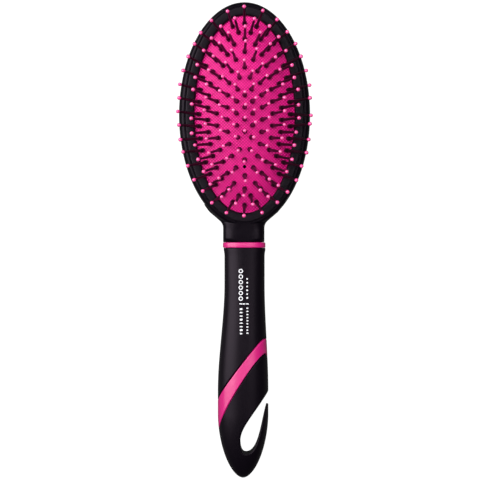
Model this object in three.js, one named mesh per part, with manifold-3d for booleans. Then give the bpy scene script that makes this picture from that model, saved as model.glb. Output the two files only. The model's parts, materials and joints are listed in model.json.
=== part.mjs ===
// Oval cushion brush: a paddle with an air cushion full of ball-tipped pins, on a grip with a hanging hook.
// Millimetres. The brush lies on its back: +Z is the way the pins point, +Y runs from the tail to the head,
// and the origin is on the table below the middle of the brush.

import * as THREE from 'three';
import { mergeVertices } from 'three/addons/utils/BufferGeometryUtils.js';
import Module from 'manifold-3d';

const wasm = await Module();
wasm.setup();

// ---- driving dimensions ----

const clearance = 0.3;

// the brush as a whole: its ends lie at plus and minus half of its length
const brushLength = 240;

// head: an oval paddle with a flat land on its back
const headWidth = 66.2;
const headLength = 113.6;
const landWidth = 28;
const landLength = 72;
const beltHeight = 9.5;
const rimHeight = 13.4;
const rimLip = 0.6;
const chamberFloor = 5;
const chamberLedge = 2.4;

// the frame ring that clamps the cushion, and the wall of the head beside and beyond it
const headSideWall = 3.6;
const headEndWall = 2.8;
const frameWidth = 4.7;
const frameChamfer = 1.2;
const frameTop = 14;
const frameLip = 1;
const frameFoot = 2.4;

// cushion: a rubber dome of even thickness with a flat flange round it
const padEdgeHeight = 12;
const domeHeight = 7.7;
const domeFlatness = 2.4;
const padThickness = 1.6;
const flangeWidth = 2.1;
const flangeThickness = 1.4;
const ventRadius = 0.9;
const ventFromCentre = 26.5;

// pins
const pinLength = 19.5;
const pinPitch = 6.05;
const pinRootRadius = 0.8;
const pinTipRadius = 0.5;
const pinBallRadius = 0.95;
const pinSides = 4;
const webWidth = 2.6;
const webThickness = 0.9;
const webClearance = 0.7;

// the rows of pins are ovals between an inner and an outer one; across and along are shares of the way out
const innerRow = { halfWidth: 4, halfLength: 23 };
const edgeRowInset = { across: 2.2, along: 3.9 };
const ringRows = [
  { name: 'row1', across: 1, along: 1, phase: 0 },
  { name: 'row2', across: 0.765, along: 0.813, phase: 0.5 },
  { name: 'row3', across: 0.526, along: 0.64, phase: 0 },
  { name: 'row4', across: 0.253, along: 0.348, phase: 0 },
  { name: 'row5', across: 0, along: 0, phase: 0 },
];
const centreRowPins = 4;

// neck and its tang
const neckWidth = 20.9;
const neckShift = -0.4;
const neckRootWidth = 27;
const neckRootReach = 6;
const neckUnderside = 2;
const neckTop = 14.6;
const neckEnd = -0.9;
const neckFlare = 0.8;
const neckDip = 0.6;
const tangWidth = 12;
const tangThickness = 6.4;
const tangLength = 27;
const tangRoot = 4;

// collar
const ringLength = 2.7;
const ringProud = 0.3;

// grip: narrow below the collar, widest at the belly, rounded at the tail
const gripFlare = 0.45;
const gripFlareLength = 4;
const gripWidth = 20.3;
const taperStart = -22;
const bellyWidth = 25.5;
const bellyShift = -0.75;
const bellyTop = -76;
const bellyRound = -88;
const bellyHeight = 19;
const tailPointiness = 1.8;
const gripWall = 2.2;

// the oblique stripe: each edge is a plane with its place on the axis, its rise across and its rise upwards
const stripeUpper = { at: -64.1, across: 1.25, upwards: 0.4 };
const stripeLower = { at: -75.9, across: 1.51, upwards: 0.75 };
// the open groove along each edge, measured along the handle
const stripeGroove = 0.6;

// tongue of the core inside the tail, to the left of the eye, with some wall between it and the grip's channel
const tongueWidth = 9;
const tongueInset = 2.3;
const tongueThickness = 8;
const tongueEnd = -87;
const tongueRoot = 12;

// the hanging eye: a drop-shaped opening with a mouth in the side, as three curves through four points;
// a pull is how far a curve is drawn along its own direction as it leaves or reaches a point
const eyeMouth = { fromTail: 44, pull: { x: -9.4, y: -13.7 } };
const eyeSide = { x: -2.1, fromTail: 19.5, pullUp: 6.1, pullDown: 4.3 };
const eyeBottom = { x: 0.8, fromTail: 12.6, pullLeft: 2.3, pullRight: 6.4 };
const hookTip = { x: 11, fromTail: 37.3, pull: { x: -2.7, y: -9.8 } };

// ---- fineness ----

const ovalSegments = 40;
const domeSegments = 20;
const domeShares = [1, 0.66, 0.33, 0.04];
const beltSteps = 5;
const rimSteps = 3;
const sectionPoints = 18;
const sectionSquareness = 2.3;
const gripStep = 8;
const tailShares = [0.28, 0.5, 0.68, 0.82, 0.92, 0.98, 0.999];
const hookSegments = 9;

// ---- sizes that follow ----

const tailEnd = -brushLength / 2;
const headHalfWidth = headWidth / 2;
const headHalfLength = headLength / 2;
const headCentre = brushLength / 2 - headHalfLength;
const frameHalfWidth = headHalfWidth - headSideWall;
const frameHalfLength = headHalfLength - headEndWall;
const padHalfWidth = frameHalfWidth - frameWidth;
const padHalfLength = frameHalfLength - frameWidth;
const ringStart = neckEnd - clearance;
const gripStart = ringStart - ringLength - clearance;
const flangeBottom = padEdgeHeight - flangeThickness;
const tongueShift = bellyShift - bellyWidth / 2 + gripWall + tongueInset + tongueWidth / 2;

// ---- solids from meshes ----

function toSolid(geometry) {
  const bare = geometry.clone();
  bare.deleteAttribute('normal');
  bare.deleteAttribute('uv');
  const merged = mergeVertices(bare, 1e-4);
  const corners = merged.index.array;
  const kept = [];
  for (let i = 0; i < corners.length; i += 3) {
    const [a, b, c] = corners.slice(i, i + 3);
    if (a !== b && b !== c && c !== a) kept.push(a, b, c);
  }
  const vertProperties = new Float32Array(merged.attributes.position.array);
  const triVerts = new Uint32Array(kept);
  return new wasm.Manifold(new wasm.Mesh({ numProp: 3, vertProperties, triVerts }));
}

function toGeometry(solid) {
  const { vertProperties, triVerts } = solid.getMesh();
  const geometry = new THREE.BufferGeometry();
  geometry.setAttribute('position', new THREE.BufferAttribute(vertProperties, 3));
  geometry.setIndex(new THREE.BufferAttribute(triVerts, 1));
  return geometry;
}

// A closed solid through rings of equally many points, with a flat fan over each end.
// Looked at from beyond the last ring, each ring runs anticlockwise.
function loftSolid(rings) {
  const count = rings[0].length;
  const points = rings.flat();
  const faces = [];
  for (let r = 0; r + 1 < rings.length; r += 1) {
    for (let i = 0; i < count; i += 1) {
      const next = (i + 1) % count;
      const a = r * count + i;
      const b = r * count + next;
      const c = a + count;
      const d = b + count;
      faces.push(a, b, d, a, d, c);
    }
  }
  const middle = (ring) => ring.reduce((sum, p) => sum.add(p), new THREE.Vector3()).divideScalar(count);
  const first = points.push(middle(rings[0])) - 1;
  const last = points.push(middle(rings.at(-1))) - 1;
  const top = (rings.length - 1) * count;
  for (let i = 0; i < count; i += 1) {
    const next = (i + 1) % count;
    faces.push(first, next, i, last, top + i, top + next);
  }
  const geometry = new THREE.BufferGeometry().setFromPoints(points);
  geometry.setIndex(faces);
  return toSolid(geometry);
}

const joined = (solids) => wasm.Manifold.union(solids);

// ---- ovals of the head ----

function oval(halfWidth, halfLength, z, segments = ovalSegments) {
  const ring = [];
  for (let i = 0; i < segments; i += 1) {
    const angle = (2 * Math.PI * i) / segments;
    const x = halfWidth * Math.cos(angle);
    const y = headCentre + halfLength * Math.sin(angle);
    ring.push(new THREE.Vector3(x, y, z));
  }
  return ring;
}

const ovalBlock = (halfWidth, halfLength, bottom, top) =>
  loftSolid([oval(halfWidth, halfLength, bottom), oval(halfWidth, halfLength, top)]);

// ---- the cushion's dome ----

// share of the way from the middle of the head to the edge of the cushion
const wayOut = (x, y) => Math.hypot(x / padHalfWidth, y / padHalfLength);

// height of the dome above the edge of the cushion, at a point given from the middle of the head
const domeRise = (x, y) => domeHeight * (1 - wayOut(x, y) ** domeFlatness);

// the way straight out of the dome
function domeNormal(x, y) {
  const slope = domeFlatness * domeHeight * wayOut(x, y) ** (domeFlatness - 2);
  const slopeX = (slope * x) / padHalfWidth ** 2;
  const slopeY = (slope * y) / padHalfLength ** 2;
  return new THREE.Vector3(slopeX, slopeY, 1).normalize();
}

function domePoint(x, y, depth) {
  const point = new THREE.Vector3(x, headCentre + y, padEdgeHeight + domeRise(x, y));
  return point.addScaledVector(domeNormal(x, y), -depth);
}

function domeRing(share, depth) {
  const ring = [];
  for (let i = 0; i < domeSegments; i += 1) {
    const angle = (2 * Math.PI * i) / domeSegments;
    const x = share * padHalfWidth * Math.cos(angle);
    const y = share * padHalfLength * Math.sin(angle);
    ring.push(domePoint(x, y, depth));
  }
  return ring;
}

// ---- pins ----

// places at equal steps along an oval, starting at the tip end of the head and going towards +X
function placesOnOval(row) {
  const { lerp } = THREE.MathUtils;
  const across = lerp(innerRow.halfWidth, padHalfWidth - edgeRowInset.across, row.across);
  const along = lerp(innerRow.halfLength, padHalfLength - edgeRowInset.along, row.along);
  const outline = new THREE.EllipseCurve(0, 0, along, across, 0, 2 * Math.PI);
  outline.arcLengthDivisions = 2000;
  const count = 2 * Math.round(outline.getLength() / pinPitch / 2);
  const places = [];
  for (let i = 0; i < count; i += 1) {
    const turn = (i + row.phase) / count;
    const { x: y, y: x } = outline.getPointAt(turn);
    places.push({ x, y, turn });
  }
  return places;
}

// the quarter of the oval that a place belongs to; a place on a border goes with the long sides
function quarterOf(turn) {
  const border = 1 / 8 - 1e-6;
  if (turn < border || turn > 1 - border) return 'tip';
  if (Math.abs(turn - 0.5) < border) return 'neck';
  return turn < 0.5 ? 'right' : 'left';
}

// one pin, standing square to the dome: a tapered shaft from behind the rubber, with a ball at its end
function pinSolid(place) {
  const profile = [
    [0, -padThickness - webClearance - webThickness / 2],
    [pinRootRadius, -padThickness - webClearance - webThickness / 2],
    [pinTipRadius, pinLength - 2 * pinBallRadius],
    [pinBallRadius, pinLength - pinBallRadius],
    [0, pinLength],
  ].map(([radius, height]) => new THREE.Vector2(radius, height));
  return toSolid(standOnDome(new THREE.LatheGeometry(profile, pinSides), place));
}

// turns a shape that stands along its own +Y so that it stands square to the dome
function standOnDome(geometry, place) {
  const up = new THREE.Vector3(0, 1, 0);
  const turn = new THREE.Quaternion().setFromUnitVectors(up, domeNormal(place.x, place.y));
  const foot = domePoint(place.x, place.y, 0);
  const placed = new THREE.Matrix4().compose(foot, turn, new THREE.Vector3(1, 1, 1));
  return geometry.applyMatrix4(placed);
}

// the thin strip behind the rubber that the pins of one strip stand on
function webSolid(places) {
  const depth = padThickness + webClearance + webThickness / 2;
  const feet = places.map((place) => domePoint(place.x, place.y, depth));
  const overhang = pinRootRadius + clearance;
  const beyond = (from, to) => to.clone().add(to.clone().sub(from).setLength(overhang));
  const route = [beyond(feet[1], feet[0]), ...feet.slice(1, -1), beyond(feet.at(-2), feet.at(-1))];
  const rings = route.map((point, i) => {
    const out = domeNormal(point.x, point.y - headCentre);
    const ahead = route[Math.min(i + 1, route.length - 1)].clone().sub(route[Math.max(i - 1, 0)]);
    const side = new THREE.Vector3().crossVectors(ahead, out).setLength(webWidth / 2);
    const lift = out.setLength(webThickness / 2);
    return [
      point.clone().sub(side).add(lift),
      point.clone().add(side).add(lift),
      point.clone().add(side).sub(lift),
      point.clone().sub(side).sub(lift),
    ];
  });
  return loftSolid(rings);
}

const pinStrip = (places) => joined([webSolid(places), ...places.map(pinSolid)]);

// the strips: four to an oval row, and one along the middle
function pinStrips() {
  const strips = [];
  for (const row of ringRows) {
    const places = placesOnOval(row);
    for (const quarter of ['tip', 'right', 'neck', 'left']) {
      const inQuarter = places.filter((place) => quarterOf(place.turn) === quarter);
      if (quarter === 'tip') inQuarter.sort((a, b) => ((a.turn + 0.5) % 1) - ((b.turn + 0.5) % 1));
      strips.push({ name: `${row.name}_${quarter}_pins`, places: inQuarter });
    }
  }
  const middle = [];
  for (let i = 0; i < centreRowPins; i += 1) {
    middle.push({ x: 0, y: (i - (centreRowPins - 1) / 2) * pinPitch });
  }
  strips.push({ name: 'row6_centre_pins', places: middle });
  return strips;
}

// ---- head ----

const headRings = () => {
  const rings = [];
  for (let step = 0; step <= beltSteps; step += 1) {
    const angle = (step * Math.PI) / 2 / beltSteps;
    const halfWidth = landWidth / 2 + (headHalfWidth - landWidth / 2) * Math.sin(angle);
    const halfLength = landLength / 2 + (headHalfLength - landLength / 2) * Math.sin(angle);
    rings.push(oval(halfWidth, halfLength, beltHeight * (1 - Math.cos(angle))));
  }
  for (let step = 1; step <= rimSteps; step += 1) {
    const angle = (step * Math.PI) / 2 / rimSteps;
    const fallSide = (headSideWall - clearance - rimLip) * (1 - Math.cos(angle));
    const fallEnd = (headEndWall - clearance - rimLip) * (1 - Math.cos(angle));
    const z = beltHeight + (rimHeight - beltHeight) * Math.sin(angle);
    rings.push(oval(headHalfWidth - fallSide, headHalfLength - fallEnd, z));
  }
  return rings;
};

// a flat-sided round section across the Y axis
function section(y, centreX, centreZ, halfWidth, halfHeight) {
  const ring = [];
  const power = 2 / sectionSquareness;
  const bent = (value) => Math.sign(value) * Math.abs(value) ** power;
  for (let i = 0; i < sectionPoints; i += 1) {
    const angle = (2 * Math.PI * i) / sectionPoints;
    const x = centreX + halfWidth * bent(Math.cos(angle));
    const z = centreZ + halfHeight * bent(Math.sin(angle));
    ring.push(new THREE.Vector3(x, y, z));
  }
  return ring;
}

const neckMiddle = (neckUnderside + neckTop) / 2;
const neckHalfHeight = (neckTop - neckUnderside) / 2;

function neckSolid() {
  const headFoot = headCentre - headHalfLength;
  const rootTop = rimHeight - clearance;
  const rootMiddle = (neckUnderside + rootTop) / 2;
  const rootHalfHeight = (rootTop - neckUnderside) / 2;
  const rings = [
    section(headFoot + neckRootReach, 0, rootMiddle, neckRootWidth / 2, rootHalfHeight),
    section(headFoot + neckRootReach / 2, neckShift, rootMiddle, neckWidth / 2 + neckFlare, rootHalfHeight),
    section(headFoot, neckShift, neckMiddle - neckDip / 2, neckWidth / 2, neckHalfHeight - neckDip / 2),
    section(neckEnd, neckShift, neckMiddle, neckWidth / 2, neckHalfHeight),
  ];
  return loftSolid(rings);
}

const tangSolid = (growth, end) => loftSolid([
  section(neckEnd + tangRoot, 0, neckMiddle, tangWidth / 2 + growth, tangThickness / 2 + growth),
  section(end, 0, neckMiddle, tangWidth / 2 + growth, tangThickness / 2 + growth),
]);

const tangEnd = neckEnd - tangLength;
const aboveHead = frameTop + domeHeight;

function headShell() {
  const seatHalfWidth = frameHalfWidth + clearance;
  const seatHalfLength = frameHalfLength + clearance;
  const flangeSeat = flangeWidth + clearance;
  const ledge = flangeBottom - clearance;
  const chamberHalfWidth = padHalfWidth + flangeWidth - chamberLedge;
  const chamberHalfLength = padHalfLength + flangeWidth - chamberLedge;
  return joined([loftSolid(headRings()), neckSolid(), tangSolid(0, tangEnd)])
    .subtract(ovalBlock(seatHalfWidth, seatHalfLength, frameTop - frameFoot - clearance, aboveHead))
    .subtract(ovalBlock(padHalfWidth + flangeSeat, padHalfLength + flangeSeat, ledge, aboveHead))
    .subtract(ovalBlock(chamberHalfWidth, chamberHalfLength, chamberFloor, aboveHead));
}

function cushionFrame() {
  const lipBottom = padEdgeHeight + clearance;
  const flangeSeat = flangeWidth + clearance;
  const ring = loftSolid([
    oval(frameHalfWidth, frameHalfLength, frameTop - frameFoot),
    oval(frameHalfWidth, frameHalfLength, frameTop - frameLip),
    oval(frameHalfWidth - frameLip, frameHalfLength - frameLip, frameTop),
  ]);
  const window = loftSolid([
    oval(padHalfWidth + clearance, padHalfLength + clearance, lipBottom - clearance),
    oval(padHalfWidth + clearance, padHalfLength + clearance, lipBottom + clearance),
    oval(padHalfWidth + clearance + frameChamfer, padHalfLength + clearance + frameChamfer, frameTop),
    oval(padHalfWidth + clearance + frameChamfer, padHalfLength + clearance + frameChamfer, aboveHead),
  ]);
  const step = ovalBlock(padHalfWidth + flangeSeat, padHalfLength + flangeSeat, chamberFloor, lipBottom);
  return ring.subtract(window).subtract(step);
}

function cushionPad(strips) {
  const flange = [
    oval(padHalfWidth + flangeWidth, padHalfLength + flangeWidth, flangeBottom, domeSegments),
    oval(padHalfWidth + flangeWidth, padHalfLength + flangeWidth, padEdgeHeight, domeSegments),
  ];
  const outside = loftSolid([...flange, ...domeShares.map((share) => domeRing(share, 0))]);
  const underside = domeShares.map((share) => domeRing(share, padThickness));
  const mouth = underside[0].map((point) => new THREE.Vector3(point.x, point.y, chamberFloor));
  const inside = loftSolid([mouth, ...underside]);
  const holeRadius = pinRootRadius + clearance / Math.cos(Math.PI / pinSides);
  const hole = (place, radius) => {
    const drill = new THREE.CylinderGeometry(radius, radius, 4 * padThickness, pinSides);
    return toSolid(standOnDome(drill, place));
  };
  const pinHoles = strips.flatMap((strip) => strip.places.map((place) => hole(place, holeRadius)));
  const vent = hole({ x: 0, y: -ventFromCentre }, ventRadius);
  return outside.subtract(inside).subtract(joined([...pinHoles, vent]));
}

// ---- handle ----

// a smooth step from 0 at one place along the handle to 1 at another
function ease(from, to, y) {
  const t = Math.min(Math.max((y - from) / (to - from), 0), 1);
  return t * t * (3 - 2 * t);
}

const tailRounding = (y, end) => {
  const t = Math.min(Math.max((bellyRound - y) / (bellyRound - end), 0), 1);
  return (1 - t ** tailPointiness) ** (1 / tailPointiness);
};

// the outer section of the handle at a place along it, drawn in by an inset
function handleSection(y, inset) {
  const belly = ease(taperStart, bellyTop, y);
  const flare = gripFlare * (1 - ease(gripStart, gripStart - gripFlareLength, y));
  const rounding = tailRounding(y, tailEnd + inset);
  const rise = ease(0, bellyTop, y);
  const top = THREE.MathUtils.lerp(neckTop, bellyHeight, rise);
  const bottom = THREE.MathUtils.lerp(neckUnderside, 0, rise);
  const fullHalf = THREE.MathUtils.lerp(gripWidth, bellyWidth, belly) / 2 + flare;
  const halfWidth = (fullHalf - inset) * rounding;
  const halfHeight = ((top - bottom) / 2 - inset) * rounding;
  const centreX = bellyShift * belly;
  return section(y, centreX, (top + bottom) / 2, halfWidth, halfHeight);
}

function handleSolid(from, to, inset) {
  const stations = [from];
  const straightEnd = Math.max(to, bellyRound);
  const steps = Math.ceil((from - straightEnd) / gripStep);
  for (let i = 1; i <= steps; i += 1) stations.push(from + ((straightEnd - from) * i) / steps);
  if (to < bellyRound) {
    const reach = bellyRound - (tailEnd + inset);
    for (const share of tailShares) stations.push(bellyRound - reach * share);
  }
  return loftSolid(stations.map((y) => handleSection(y, inset)));
}

const stripeMiddle = bellyHeight / 2;

// everything on the tail side of a stripe edge, moved along the handle by a shift
function tailSideOf(edge, shift) {
  const reach = brushLength;
  const wellBeyondTail = -8 * reach;
  const corners = [[reach, reach], [-reach, reach], [-reach, -reach], [reach, -reach]];
  const far = corners.map(([x, z]) => new THREE.Vector3(x, wellBeyondTail, z));
  const near = corners.map(([x, z]) => {
    const y = edge.at + shift + edge.across * x + edge.upwards * (z - stripeMiddle);
    return new THREE.Vector3(x, y, z);
  });
  return loftSolid([near, far]);
}

function tongueSolid(growth) {
  const halfWidth = tongueWidth / 2 + growth;
  const halfHeight = tongueThickness / 2 + growth;
  return loftSolid([
    section(stripeLower.at + tongueRoot, tongueShift, stripeMiddle, halfWidth, halfHeight),
    section(tongueEnd - growth, tongueShift, stripeMiddle, halfWidth, halfHeight),
  ]);
}

const wholeHandle = () => handleSolid(gripStart, tailEnd, 0);

function handleCore() {
  const inner = handleSolid(gripStart, bellyRound, gripWall + clearance);
  const trunk = inner.subtract(tailSideOf(stripeLower, gripWall));
  const band = wholeHandle().intersect(tailSideOf(stripeUpper, 0)).subtract(tailSideOf(stripeLower, 0));
  const socket = tangSolid(clearance, tangEnd - clearance);
  return joined([trunk, band, tongueSolid(0)]).subtract(socket);
}

function upperGrip() {
  const sleeve = handleSolid(gripStart, bellyRound, 0);
  const channel = handleSolid(gripStart + clearance, bellyRound, gripWall);
  return sleeve.subtract(channel).subtract(tailSideOf(stripeUpper, stripeGroove));
}

function hookOutline() {
  const outside = headHalfWidth;
  const side = bellyWidth / 2 + bellyShift;
  const mouthY = tailEnd + eyeMouth.fromTail;
  const sideY = tailEnd + eyeSide.fromTail;
  const bottomY = tailEnd + eyeBottom.fromTail;
  const tipY = tailEnd + hookTip.fromTail;
  const hole = new THREE.Shape();
  hole.moveTo(outside, mouthY + outside - side);
  hole.lineTo(side, mouthY);
  const leaving = [side + eyeMouth.pull.x, mouthY + eyeMouth.pull.y];
  hole.bezierCurveTo(...leaving, eyeSide.x, sideY + eyeSide.pullUp, eyeSide.x, sideY);
  const below = [eyeSide.x, sideY - eyeSide.pullDown];
  hole.bezierCurveTo(...below, eyeBottom.x - eyeBottom.pullLeft, bottomY, eyeBottom.x, bottomY);
  const onward = [eyeBottom.x + eyeBottom.pullRight, bottomY];
  hole.bezierCurveTo(...onward, hookTip.x + hookTip.pull.x, tipY + hookTip.pull.y, hookTip.x, tipY);
  hole.lineTo(outside, tipY);
  return hole;
}

function tailGrip() {
  const tail = wholeHandle().intersect(tailSideOf(stripeLower, -stripeGroove));
  const depth = 2 * bellyHeight;
  const settings = { depth, bevelEnabled: false, curveSegments: hookSegments };
  const hole = new THREE.ExtrudeGeometry(hookOutline(), settings);
  hole.translate(0, 0, stripeMiddle - depth / 2);
  return tail.subtract(tongueSolid(clearance)).subtract(toSolid(hole));
}

function neckRing() {
  const halfWidth = neckWidth / 2 + ringProud;
  const face = (y) => section(y, neckShift / 2, neckMiddle, halfWidth, neckHalfHeight + ringProud);
  const disc = loftSolid([face(ringStart), face(ringStart - ringLength)]);
  return disc.subtract(tangSolid(clearance, tangEnd));
}

// ---- materials and assembly ----

const finish = (color, roughness) => new THREE.MeshStandardMaterial({ color, roughness, metalness: 0 });
const blackPlastic = finish(0x1b181d, 0.5);
const softTouch = finish(0x242126, 0.65);
const pinkPlastic = finish(0xe0428f, 0.4);
const rubber = finish(0xd6207c, 0.7);
const nylon = finish(0x141216, 0.35);

const brush = new THREE.Group();

function addPiece(name, solid, material) {
  const mesh = new THREE.Mesh(toGeometry(solid), material);
  mesh.name = name;
  brush.add(mesh);
}

const strips = pinStrips();
addPiece('head_shell', headShell(), blackPlastic);
addPiece('cushion_frame', cushionFrame(), blackPlastic);
addPiece('cushion_pad', cushionPad(strips), rubber);
for (const strip of strips) addPiece(strip.name, pinStrip(strip.places), nylon);
addPiece('neck_ring', neckRing(), pinkPlastic);
addPiece('handle_core', handleCore(), pinkPlastic);
addPiece('upper_grip', upperGrip(), softTouch);
addPiece('tail_grip', tailGrip(), softTouch);

export default brush;
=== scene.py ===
# %% [markdown]
# # An oval cushion brush in Blender
# The brush lies on its back, so the pins point up at us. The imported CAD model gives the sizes, the bodies
# and the joints. This notebook adds the looks around it, piece by piece, as surfaces worked out with numpy.
# The brush's lengths are in millimetres until a mesh is made, because that is how a brush is drawn.

# %% Load the frame
import json
import math

import bpy
import numpy as np
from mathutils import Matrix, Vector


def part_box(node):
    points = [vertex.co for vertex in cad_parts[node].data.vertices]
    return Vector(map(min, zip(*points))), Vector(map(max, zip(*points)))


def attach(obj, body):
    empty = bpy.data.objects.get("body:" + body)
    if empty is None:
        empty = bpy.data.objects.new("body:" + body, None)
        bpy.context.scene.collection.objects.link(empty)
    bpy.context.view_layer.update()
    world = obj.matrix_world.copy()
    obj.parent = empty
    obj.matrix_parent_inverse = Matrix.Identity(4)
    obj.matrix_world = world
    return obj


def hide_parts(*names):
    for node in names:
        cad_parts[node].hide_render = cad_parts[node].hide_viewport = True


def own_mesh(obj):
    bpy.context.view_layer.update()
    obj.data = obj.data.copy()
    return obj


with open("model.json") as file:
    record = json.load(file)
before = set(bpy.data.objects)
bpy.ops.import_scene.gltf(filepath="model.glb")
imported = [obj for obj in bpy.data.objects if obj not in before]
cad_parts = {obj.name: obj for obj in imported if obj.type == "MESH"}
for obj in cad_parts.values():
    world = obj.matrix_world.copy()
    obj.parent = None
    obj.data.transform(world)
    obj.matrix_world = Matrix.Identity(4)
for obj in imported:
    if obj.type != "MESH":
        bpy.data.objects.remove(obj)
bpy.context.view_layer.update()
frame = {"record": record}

# %% [markdown]
# The boxes of a few CAD nodes give the outer sizes and the places. The sizes inside them, such as walls and
# rims, are named here and in the cells below, with the values that the CAD pieces have. We could read every
# size from the meshes, but a handful of named values is easier to follow.

# %% Sizes from the frame
MM = 0.001


def box_mm(node):
    """The lowest and the highest corner of a CAD node, in millimetres."""
    low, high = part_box(node)
    return np.array(low) / MM, np.array(high) / MM


head_high = box_mm("head_shell")[1]
frame_low, frame_high = box_mm("cushion_frame")
pad_high = box_mm("cushion_pad")[1]
ring_low, ring_high = box_mm("neck_ring")
tail_low = box_mm("tail_grip")[0]

HEAD_HALF_WIDTH = head_high[0]
HEAD_TIP = head_high[1]
FRAME_HALF_WIDTH = frame_high[0]
FRAME_HALF_LENGTH = (frame_high[1] - frame_low[1]) / 2
HEAD_CENTRE = (frame_high[1] + frame_low[1]) / 2
HEAD_HALF_LENGTH = HEAD_TIP - HEAD_CENTRE
FRAME_TOP = frame_high[2]
FRAME_WIDTH = 4.7
PAD_HALF_WIDTH = FRAME_HALF_WIDTH - FRAME_WIDTH
PAD_HALF_LENGTH = FRAME_HALF_LENGTH - FRAME_WIDTH
PAD_EDGE = 12.0
DOME_HEIGHT = 7.7
DOME_FLATNESS = 2.4
PAD_THICKNESS = 1.6
FLANGE_THICKNESS = 1.4
FLANGE_WIDTH = pad_high[0] - PAD_HALF_WIDTH
TAIL_END = tail_low[1]
COLLAR_GAP = 0.06
NECK_END = ring_high[1] + COLLAR_GAP
GRIP_START = ring_low[1] - COLLAR_GAP
print("head", HEAD_HALF_WIDTH, HEAD_HALF_LENGTH, "centre", HEAD_CENTRE, "tail", TAIL_END)

# %% [markdown]
# ## Turning arrays into meshes
# A smooth surface is a grid of points: one direction runs round the piece, the other along a profile. The
# helper below joins neighbouring points into quads, closes the grid where it meets itself, and fills a pole
# with a fan. Working in whole arrays keeps this fast, and the grid stays even, so it shades smoothly.


# %% Mesh helpers
def add_object(name, mesh):
    """Puts a mesh into the scene as an object at the origin."""
    piece = bpy.data.objects.new(name, mesh)
    bpy.context.scene.collection.objects.link(piece)
    return piece


def mesh_from(name, points, faces, sharp_degrees=40):
    """A smooth-shaded mesh from an array of points in millimetres and a list of faces."""
    mesh = bpy.data.meshes.new(name)
    mesh.from_pydata((np.asarray(points) * MM).tolist(), [], [list(map(int, face)) for face in faces])
    mesh.validate()
    mesh.shade_smooth()
    mesh.set_sharp_from_angle(angle=math.radians(sharp_degrees))
    return mesh


def grid_faces(rows, columns, loop_rows=False):
    """Quads over a grid that closes round its columns; loop_rows also joins the last row to the first."""
    row = np.arange(rows if loop_rows else rows - 1)[:, None]
    column = np.arange(columns)[None, :]
    after_row = (row + 1) % rows
    after_column = (column + 1) % columns
    corners = [
        row * columns + column,
        row * columns + after_column,
        after_row * columns + after_column,
        after_row * columns + column,
    ]
    return np.stack(np.broadcast_arrays(*corners), axis=-1).reshape(-1, 4)


def revolved(name, rings, close="fans", sharp_degrees=40):
    """A closed surface through rings of points, an array of shape rings x points x 3.

    close is "fans" for a pole at each end, or "loop" where the last ring meets the first."""
    rings = np.asarray(rings, float)
    count, around = rings.shape[:2]
    points = rings.reshape(-1, 3)
    faces = list(grid_faces(count, around, loop_rows=close == "loop"))
    if close == "fans":
        for first_ring, backwards in ((0, True), (count - 1, False)):
            pole = len(points)
            points = np.vstack([points, rings[first_ring].mean(axis=0)])
            ids = first_ring * around + np.arange(around)
            after = np.roll(ids, -1)
            pair = (after, ids) if backwards else (ids, after)
            faces += [(a, b, pole) for a, b in zip(*pair)]
    return add_object(name, mesh_from(name, points, faces, sharp_degrees))


def finished(piece):
    """Applies a piece's modifiers to its mesh, so that the object carries none."""
    graph = bpy.context.evaluated_depsgraph_get()
    mesh = bpy.data.meshes.new_from_object(piece.evaluated_get(graph))
    piece.modifiers.clear()
    piece.data = mesh
    mesh.name = piece.name
    return piece


def cut_or_join(piece, other, operation, sharp_degrees=40):
    """An exact boolean of two closed pieces; the second one is used up."""
    modifier = piece.modifiers.new("boolean", "BOOLEAN")
    modifier.operation = operation
    modifier.solver = "EXACT"
    modifier.object = other
    finished(piece)
    bpy.data.objects.remove(other)
    piece.data.shade_smooth()
    piece.data.set_sharp_from_angle(angle=math.radians(sharp_degrees))
    return piece


print("helpers ready")

# %% [markdown]
# ## Finishes
# All plastics here share one group: a fine grain that tilts the surface a little, and soft patches that
# change how glossy it is, as handling does. Each material could have its own noises, but one group with
# named inputs keeps them alike. The group only puts out values, and each material sets its own amounts.


# %% The shared grain group
def new_group(name, inputs, outputs):
    """A shader node group with float inputs (name, default) and outputs (name, socket type)."""
    group = bpy.data.node_groups.new(name, "ShaderNodeTree")
    for label, default in inputs:
        socket = group.interface.new_socket(name=label, in_out="INPUT", socket_type="NodeSocketFloat")
        socket.default_value = default
    for label, kind in outputs:
        group.interface.new_socket(name=label, in_out="OUTPUT", socket_type=kind)
    return group, group.nodes.new("NodeGroupInput"), group.nodes.new("NodeGroupOutput")


def noise(tree, vector, scale, detail=2.0):
    """A noise texture on the given coordinates; a scale is a number for the socket or a link to join."""
    node = tree.nodes.new("ShaderNodeTexNoise")
    node.inputs["Detail"].default_value = detail
    tree.links.new(vector, node.inputs["Vector"])
    if isinstance(scale, (int, float)):
        node.inputs["Scale"].default_value = scale
    else:
        tree.links.new(scale, node.inputs["Scale"])
    return node.outputs["Fac"]


def math_node(tree, operation, first, second):
    """One math node; each value is a number or a link."""
    node = tree.nodes.new("ShaderNodeMath")
    node.operation = operation
    for socket, value in zip(node.inputs, (first, second)):
        if isinstance(value, (int, float)):
            socket.default_value = value
        else:
            tree.links.new(value, socket)
    return node.outputs[0]


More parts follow.
